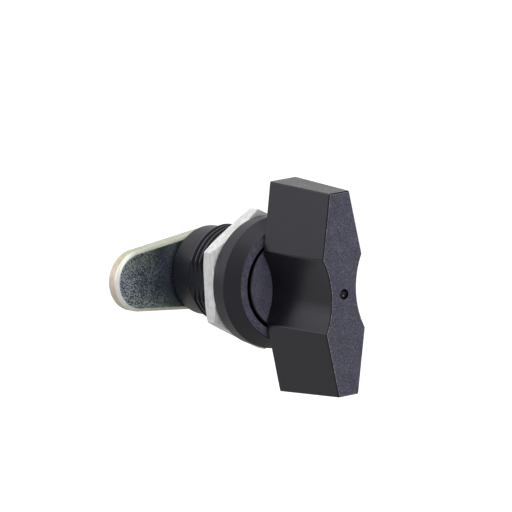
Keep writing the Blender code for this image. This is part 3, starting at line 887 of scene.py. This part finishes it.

# %% [markdown]
# The cam is punched from zinc-plated steel strip. Its crystals show as a fine mottling, light
# specks on a dark ground: strongest at the tip, bluish in the middle and greenish towards the rim.
# The face's tone carries painted light, lighter at the tip, and painted shade towards the barrel.
# A thin film scatters some light, so the face is a little less than fully metallic. The crystals
# are about as wide as a pixel, 0.22 mm, and are drawn at 0.27 mm.

# %% Zinc on the cam's faces
def spangled_zinc(name):
    """Mottled bright zinc on rolled strip: small crystals that differ in tone and in gloss."""
    material, tree, shader = start_material(name, {"Metallic": 0.88})
    place = add_node(tree, "ShaderNodeTexCoord").outputs["Object"]
    crystals = add_noise(tree, place, size=0.27 * MM, detail=3.0, Roughness=0.6)
    patches = add_noise(tree, place, size=5 * MM)
    shift = {0: patches, 1: 0.3, 2: -0.15}
    shift = add_node(tree, "ShaderNodeMath", shift, operation="MULTIPLY_ADD")
    spot = add_node(tree, "ShaderNodeSeparateXYZ", {0: place}).outputs
    reach = {"Value": spot["X"], "From Min": CAM_LOW.x, "From Max": -BARREL_END_RADIUS}
    contrast = add_node(tree, "ShaderNodeMapRange", {**reach, "To Min": 2.1, "To Max": 0.1})
    # Painted light: the tone rises towards the tip and falls towards the barrel, where the face
    # lies in shade.
    painted_light_to_tip = add_node(tree, "ShaderNodeMapRange", {**reach, "To Min": 0.075, "To Max": -0.04})
    swing = add_node(tree, "ShaderNodeMath", {0: crystals, 1: 0.5}, operation="SUBTRACT")
    raised = add_node(tree, "ShaderNodeMath", {0: shift, 1: 0.5}, operation="ADD")
    mottled = {0: swing, 1: contrast, 2: raised}
    mottled = add_node(tree, "ShaderNodeMath", mottled, operation="MULTIPLY_ADD")
    tone = add_node(tree, "ShaderNodeMath", {0: mottled, 1: painted_light_to_tip}, operation="ADD")
    ramp = add_node(tree, "ShaderNodeValToRGB", {"Fac": tone})
    stops = ((0.36, "6A7284"), (0.49, "98A1AE"), (0.57, "CCD4D6"), (0.64, "FFFFFF"))
    fill_ramp(ramp, stops)
    from_middle = add_node(tree, "ShaderNodeMath", {0: spot["Z"]}, operation="ABSOLUTE")
    rim = {"Value": from_middle, "From Min": 1 * MM, "From Max": 7 * MM}
    rim = add_node(tree, "ShaderNodeMapRange", {**rim, "To Min": -0.1, "To Max": 0.9})
    rim = add_node(tree, "ShaderNodeMath", {0: rim, 1: shift}, operation="ADD")
    tint = {0: rim, 6: linear_colour("E0E4EC"), 7: linear_colour("E0EEDA")}
    tint = add_node(tree, "ShaderNodeMix", tint, data_type="RGBA").outputs[2]
    tinted = {0: 1.0, 6: ramp.outputs["Color"], 7: tint}
    tinted = add_node(tree, "ShaderNodeMix", tinted, data_type="RGBA", blend_type="MULTIPLY")
    tree.links.new(tinted.outputs[2], shader.inputs["Base Color"])
    gloss = {"Value": crystals, "From Min": 0.3, "From Max": 0.7}
    gloss = add_node(tree, "ShaderNodeMapRange", {**gloss, "To Min": 0.22, "To Max": 0.42})
    duller = add_node(tree, "ShaderNodeMath", {0: painted_light_to_tip, 1: 1.5}, operation="MULTIPLY")
    duller = add_node(tree, "ShaderNodeMath", {0: gloss, 1: duller}, operation="ADD")
    tree.links.new(duller.outputs[0], shader.inputs["Roughness"])
    add_bump(tree, shader, crystals, strength=0.6, distance=0.06 * MM)
    return material


CAM_FACE = spangled_zinc("cam_spangled_zinc")
print("made", CAM_FACE.name)

# %% [markdown]
# The punch rolled the cam's front edge over and burnished it bright. Behind it the sheared wall
# holds a passivation, a thin film whose colour changes along the cam: rosy at the tip, then
# straw, then a pale green. So the edge and the wall are zinc with a film laid over its colour.

# %% Zinc on the cam's edges
def add_film(material, reach, tip, middle, rest):
    """Lay a thin film over a zinc material, whose colour changes along the cam."""
    tree = material.node_tree
    shader = tree.nodes["Principled BSDF"]
    place = add_node(tree, "ShaderNodeTexCoord").outputs["Object"]
    along = add_node(tree, "ShaderNodeSeparateXYZ", {0: place}).outputs["X"]
    share = {"Value": along, "From Min": CAM_LOW.x, "From Max": CAM_LOW.x + reach}
    share = add_node(tree, "ShaderNodeMapRange", share)
    film = add_node(tree, "ShaderNodeValToRGB", {"Fac": share})
    fill_ramp(film, ((0, tip), (0.35, middle), (1, rest)))
    zinc = shader.inputs["Base Color"].links[0].from_socket
    tinted = {0: 1.0, 6: zinc, 7: film.outputs["Color"]}
    tinted = add_node(tree, "ShaderNodeMix", tinted, data_type="RGBA", blend_type="MULTIPLY")
    tree.links.new(tinted.outputs[2], shader.inputs["Base Color"])


CAM_ROLL = dull_zinc("cam_burnished_edge", "ECECEC", "FCFCFC", 0.45, 0.4, 2 * MM)
CAM_SHEAR = dull_zinc("cam_passivated_shear", "E4E4E4", "FCFCFC", 0.5, 0.5, 3 * MM)
add_film(CAM_ROLL, 10 * MM, "FCFCFA", "EFF0E8", "D4D6C2")
add_film(CAM_SHEAR, 7 * MM, "ECD9CC", "DBD5B4", "D0D4BE")
print("made", CAM_ROLL.name, CAM_SHEAR.name)

# %% [markdown]
# In plan the cam is two circles and their common tangents, which is what a punch for a tapered
# cam looks like. Offsetting such an outline only shortens both radii, so the rolled edge is a
# stack of offset outlines that follow a quarter circle down to the front face.

# %% The cam
CAM_TIP_RADIUS = 6.8 * MM
CAM_HOLE_HALF = 4.3 * MM
CAM_ROLL_RADIUS = 0.85 * MM
CAM_BACK_BREAK = 0.12 * MM
CAM_ROLL_STEPS = 12


def cam_outline(inset, steps=48):
    """The cam's outline, moved inwards by the inset."""
    hub_radius = CAM_HIGH.z
    tip_x = -CAM_LOW.x - CAM_TIP_RADIUS
    lean = math.asin((hub_radius - CAM_TIP_RADIUS) / tip_x)
    tip = arc_points(CAM_TIP_RADIUS - inset, -math.pi + lean, -lean, steps, -tip_x)
    hub = arc_points(hub_radius - inset, -lean, math.pi + lean, steps)
    return tip + hub


def make_cam():
    """Side wall, rolled front edge, broken back edge, and the square hole."""
    front, back = CAM_LOW.y, CAM_HIGH.y
    levels = []
    for step in range(CAM_ROLL_STEPS + 1):
        angle = math.pi / 2 * step / CAM_ROLL_STEPS
        inset = CAM_ROLL_RADIUS * (1 - math.sin(angle))
        levels.append((cam_outline(inset), front + CAM_ROLL_RADIUS * (1 - math.cos(angle))))
    levels.append((cam_outline(0), back - CAM_BACK_BREAK))
    levels.append((cam_outline(CAM_BACK_BREAK), back))
    cam = add_object("cam_punched_strip", loft_outlines(levels), CAM_FACE, CAM_ROLL, CAM_SHEAR)
    square = rectangle(CAM_HOLE_HALF, CAM_HOLE_HALF)
    hole = add_object("hole", loft_outlines([(square, front - FIT), (square, back + FIT)]))
    combine(cam, hole, "DIFFERENCE")
    return cam


def cam_finish(centre, normal):
    """Spangle on the faces, bright on the rolled edge, passivated on the sheared wall."""
    if abs(normal.y) > 0.99:
        return CAM_FACE
    return CAM_ROLL if normal.y < -0.05 else CAM_SHEAR


cam = make_cam()
choose_materials(cam, cam_finish)
settle_normals(cam)
print("cam faces:", len(cam.data.polygons))

# %% [markdown]
# Behind the cam sit a flat washer, a split spring washer and a hexagon screw, all in bright
# zinc plate, which is smoother and more of a mirror than the nut's. They are small, but from
# behind they are the first thing one sees, so their edges are broken, the washer is split and
# the screw head has its turned chamfer.

# %% Washers
SCREW_ZINC = dull_zinc("screw_bright_zinc", "A9ACAE", "C6C8C9", 0.32, 1.0, 2 * MM)
SCREW_RADIUS = 3.0 * MM
SPRING_RADIUS = 5.5 * MM
SPRING_SLIT = math.radians(12)
RING_ROUNDING = 0.12 * MM
RING_STEPS = 96


def make_ring(name, low, high, outer, slit=0.0):
    """A washer between two planes. With a slit it is an open ring with two ends."""
    inner = SCREW_RADIUS + FIT
    if slit:
        start, end = slit / 2, 2 * math.pi - slit / 2
        outline = arc_points(outer, start, end, RING_STEPS)
        outline += arc_points(inner, end, start, RING_STEPS)
        ring = add_object(name, loft_outlines([(outline, low), (outline, high)]), SCREW_ZINC)
    else:
        profile = [(inner, low), (outer, low), (outer, high), (inner, high)]
        ring = add_object(name, turn_profile(profile, RING_STEPS), SCREW_ZINC)
    add_bevel(ring, RING_ROUNDING, 3, 40)
    settle_normals(ring)
    return ring


flat_washer = make_ring("flat_washer_zinc_plated", WASHER_LOW.y, WASHER_HIGH.y, WASHER_HIGH.x)
spring_span = (SPRING_LOW.y, SPRING_HIGH.y)
spring_washer = make_ring("spring_washer_zinc_plated", *spring_span, SPRING_RADIUS, SPRING_SLIT)
print("washer faces:", len(flat_washer.data.polygons), len(spring_washer.data.polygons))

# %% Screw
SCREW_POINT = 0.6 * MM
SCREW_HEAD = 4 * MM
SCREW_ACROSS_FLATS = 10 * MM
SCREW_FACE_RADIUS = 4.8 * MM


def make_screw():
    """The hexagon head and its shank, whose thread is hidden in the spindle."""
    end, high = SCREW_LOW.y, SCREW_HIGH.y
    low = high - SCREW_HEAD
    sizes = (SCREW_ACROSS_FLATS, SCREW_FACE_RADIUS)
    screw = make_hexagon("cam_screw_zinc_plated", low, high, *sizes, SCREW_ZINC, False)
    shank = [(0, end), (SCREW_RADIUS - SCREW_POINT, end), (SCREW_RADIUS, end + SCREW_POINT)]
    inside = low + SCREW_HEAD / 2
    shank += [(SCREW_RADIUS, inside), (0, inside)]
    combine(screw, add_object("shank", turn_profile(shank, RING_STEPS)), "UNION")
    settle_normals(screw)
    return screw


cam_screw = make_screw()
print("screw faces:", len(cam_screw.data.polygons))

# %% [markdown]
# Two pieces stay as the frame has them, because they lie inside: the cast zinc spindle and the
# black rubber O-ring. They still get their own finishes, for the cut ends that can be seen.

# %% Spindle and O-ring
def nitrile_rubber(name):
    """Nearly black, dull rubber with a fine bloom."""
    material, tree, shader = start_material(name, {"Roughness": 0.75})
    place = add_node(tree, "ShaderNodeTexCoord").outputs["Object"]
    bloom = add_noise(tree, place, size=1 * MM, detail=3.0)
    ramp = add_node(tree, "ShaderNodeValToRGB", {"Fac": bloom})
    fill_ramp(ramp, ((0, "161616"), (1, "262626")))
    tree.links.new(ramp.outputs["Color"], shader.inputs["Base Color"])
    return material


CAST_ZINC = dull_zinc("spindle_cast_zinc", "8C8C8A", "A3A3A0", 0.45, 0.9, 4 * MM)
for node_name, material in (("spindle", CAST_ZINC), ("o_ring", nitrile_rubber("nitrile_rubber"))):
    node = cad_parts[node_name]
    node.data.materials.clear()
    node.data.materials.append(material)
spindle_length = SPINDLE_HIGH.y - SPINDLE_LOW.y
print("dressed the O-ring and the spindle,", round(spindle_length / MM, 1), "mm long")

# %% [markdown]
# Each new piece hides the CAD node that it stands for and hangs on the body that carries it.
# Everything that turns with the knob rides on the rotor, and the housing and its nut stay in the
# panel.

# %% Tie the pieces to the frame
PIECES = (
    (wing_knob, "wing_knob", "rotor", "black_moulding"),
    (housing, "housing", "housing", "black_moulding"),
    (nut, "hex_nut", "housing", "matt_zinc"),
    (cam, "cam", "rotor", "cam_zinc"),
    (flat_washer, "flat_washer", "rotor", "screw_zinc"),
    (spring_washer, "spring_washer", "rotor", "screw_zinc"),
    (cam_screw, "cam_screw", "rotor", "screw_zinc"),
)
for piece, node_name, body, slot in PIECES:
    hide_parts(node_name)
    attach(piece, body)
print("pieces:", len(PIECES))

# %% [markdown]
# A plain pale floor below the lock catches a soft shadow. Camera and transmission rays see it
# brighter, as the white paper of a product picture, and the lock gets no extra light from that.
# Mirrored rays see a fifth of this lift, because the real lock's lower walls mirror a darker
# table. The world behind the lock is white to all of these rays and dimmer as a light, and it
# is darker above the lock and on the camera's side, as a studio is.

# %% Floor
FLOOR_SIZE = 4.0
FLOOR_HEIGHT = CAD_BOX[0].z - 14 * MM
FLOOR_LIFT = 0.78
FLOOR_MIRRORED = 0.2


def direct_rays(tree, mirrored_share):
    """One for rays that show the background itself, and a share of it for mirrored ones."""
    path = add_node(tree, "ShaderNodeLightPath").outputs
    mirrored = {0: path["Is Glossy Ray"], 1: mirrored_share}
    mirrored = add_node(tree, "ShaderNodeMath", mirrored, operation="MULTIPLY")
    direct = {0: path["Is Camera Ray"], 1: path["Is Transmission Ray"]}
    direct = add_node(tree, "ShaderNodeMath", direct, operation="MAXIMUM")
    return add_node(tree, "ShaderNodeMath", {0: direct, 1: mirrored}, operation="MAXIMUM")


def pale_floor():
    """A large white floor under the lock."""
    bm = bmesh.new()
    size = FLOOR_SIZE
    corners = [(-size, -size), (size, -size), (size, size), (-size, size)]
    bm.faces.new([bm.verts.new((x, y, FLOOR_HEIGHT)) for x, y in corners])
    look = {"Base Color": linear_colour("B2B2B0"), "Roughness": 0.9}
    look["Emission Color"] = (1, 1, 1, 1)
    material, tree, shader = start_material("white_paper", look)
    seen = direct_rays(tree, FLOOR_MIRRORED)
    glow = add_node(tree, "ShaderNodeMath", {0: seen, 1: FLOOR_LIFT}, operation="MULTIPLY")
    tree.links.new(glow.outputs[0], shader.inputs["Emission Strength"])
    floor = add_object("floor", bm, material)


pale_floor()
print("floor at", round(FLOOR_HEIGHT / MM, 1), "mm")

# %% Surroundings
def studio_world(diffuse_level, zenith_level, front_level):
    """White surroundings behind the lock, darker above it and on the camera's side."""
    world = bpy.data.worlds.new("studio")
    bpy.context.scene.world = world
    world.use_nodes = True
    tree = world.node_tree
    level = {"Value": direct_rays(tree, 1.0), "To Min": diffuse_level, "To Max": 1.0}
    level = add_node(tree, "ShaderNodeMapRange", level)
    direction = add_node(tree, "ShaderNodeTexCoord").outputs["Generated"]
    direction = add_node(tree, "ShaderNodeSeparateXYZ", {0: direction}).outputs
    upwards = {"Value": direction["Z"], "From Min": 0.15, "To Min": 1.0, "To Max": zenith_level}
    upwards = add_node(tree, "ShaderNodeMapRange", upwards)
    forwards = {"Value": direction["Y"], "From Min": -0.3, "From Max": 0.5, "To Min": front_level}
    forwards = add_node(tree, "ShaderNodeMapRange", forwards)
    tone = add_node(tree, "ShaderNodeMath", {0: upwards, 1: forwards}, operation="MULTIPLY")
    strength = add_node(tree, "ShaderNodeMath", {0: level, 1: tone}, operation="MULTIPLY")
    sky = tree.nodes["Background"]
    sky.inputs["Color"].default_value = (1, 1, 1, 1)
    tree.links.new(strength.outputs[0], sky.inputs["Strength"])


studio_world(diffuse_level=0.62, zenith_level=0.65, front_level=0.45)
print("the world is white to the camera")

# %% [markdown]
# The light is a product studio's, with three softboxes that look at the lock. A large one above
# draws the bright top of the knob, and a weak one at the left lights the nut and the wings'
# sides. One high on the camera's side lights the front faces from so far up that their rounded
# edges don't mirror it. A lamp's name comes with its place and width in metres and its watts.

# %% Softboxes
SOFTBOXES = (
    ("top_softbox", (-0.1, 0.1, 0.8), 0.8, 2.6),
    ("left_softbox", (-0.8, 0.35, 0.5), 0.8, 2.2),
    ("front_softbox", (-0.2, -0.85, 0.65), 0.7, 5.6),
)
for name, location, width, watts in SOFTBOXES:
    lamp = bpy.data.lights.new(name, "AREA")
    lamp.size = width
    lamp.energy = watts
    item = bpy.data.objects.new(name, lamp)
    item.location = location
    item.rotation_euler = (-Vector(location)).to_track_quat("-Z", "Y").to_euler()
    bpy.context.scene.collection.objects.link(item)
print("softboxes:", len(SOFTBOXES))

# %% [markdown]
# The picture was taken with a long lens from the knob's side: 38 degrees to the left of the
# axis and 10 degrees above it, with a small roll. The camera's place follows from those
# angles, the distance, how many pixels of the 512 pixel frame one millimetre takes up, and how
# many pixels the lock's origin lies to the right of the frame's middle and below it.

# %% Camera
AZIMUTH = math.radians(-37.684)
ELEVATION = math.radians(10.165)
ROLL = math.radians(-2.779)
DISTANCE = 1.5
PIXELS_PER_MM = 4.584
ORIGIN_RIGHT_OF_MIDDLE = 8.252
ORIGIN_BELOW_MIDDLE = 23.742
FRAME_PIXELS = 512

back = Vector((
    math.sin(AZIMUTH) * math.cos(ELEVATION),
    -math.cos(AZIMUTH) * math.cos(ELEVATION),
    math.sin(ELEVATION),
))
level_right = Vector((math.cos(AZIMUTH), math.sin(AZIMUTH), 0))
level_up = back.cross(level_right)
right = math.cos(ROLL) * level_right + math.sin(ROLL) * level_up
up = -math.sin(ROLL) * level_right + math.cos(ROLL) * level_up
shift_right = ORIGIN_RIGHT_OF_MIDDLE / PIXELS_PER_MM * MM
shift_down = ORIGIN_BELOW_MIDDLE / PIXELS_PER_MM * MM
place = back * DISTANCE - right * shift_right + up * shift_down

lens = bpy.data.cameras.new("camera")
lens.sensor_width = 36.0
lens.lens = lens.sensor_width * PIXELS_PER_MM * (DISTANCE / MM) / FRAME_PIXELS
lens.clip_end = 20.0
camera = bpy.data.objects.new("camera", lens)
bpy.context.scene.collection.objects.link(camera)
camera.matrix_world = Matrix.Translation(place) @ Matrix((right, up, back)).transposed().to_4x4()
bpy.context.scene.camera = camera
bpy.context.scene.view_settings.view_transform = "Standard"
print("lens", round(lens.lens), "mm")
